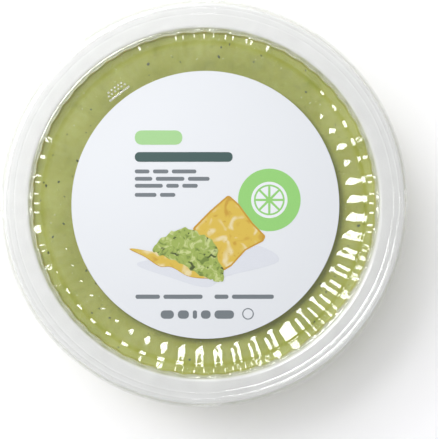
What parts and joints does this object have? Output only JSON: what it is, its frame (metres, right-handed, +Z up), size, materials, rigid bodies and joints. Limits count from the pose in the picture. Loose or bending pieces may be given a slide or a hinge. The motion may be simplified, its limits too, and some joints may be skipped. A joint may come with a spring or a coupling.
{
  "type": "tub of guacamole",
  "caption": "Round clear plastic tub of smooth green guacamole with a fluted press-on lid and a round white paper label on the lid.",
  "frame": {"origin": "centre of the foot ring, on the surface that the tub stands on", "axes": "+Z up along the tub's axis, +X to the right and +Y to the top of the label's print"},
  "size_m": [0.117, 0.117, 0.0425],
  "materials": {
    "tub_plastic": "clear, glossy",
    "guacamole": "moist, smooth, finely mottled",
    "lid_plastic": "clear, glossy",
    "label_paper": "satin coated paper with printed fields of colour"
  },
  "bodies": {
    "root": {"tub": "tub_plastic", "guacamole": "guacamole", "lid": "lid_plastic", "label": "label_paper"}
  },
  "joints": []
}
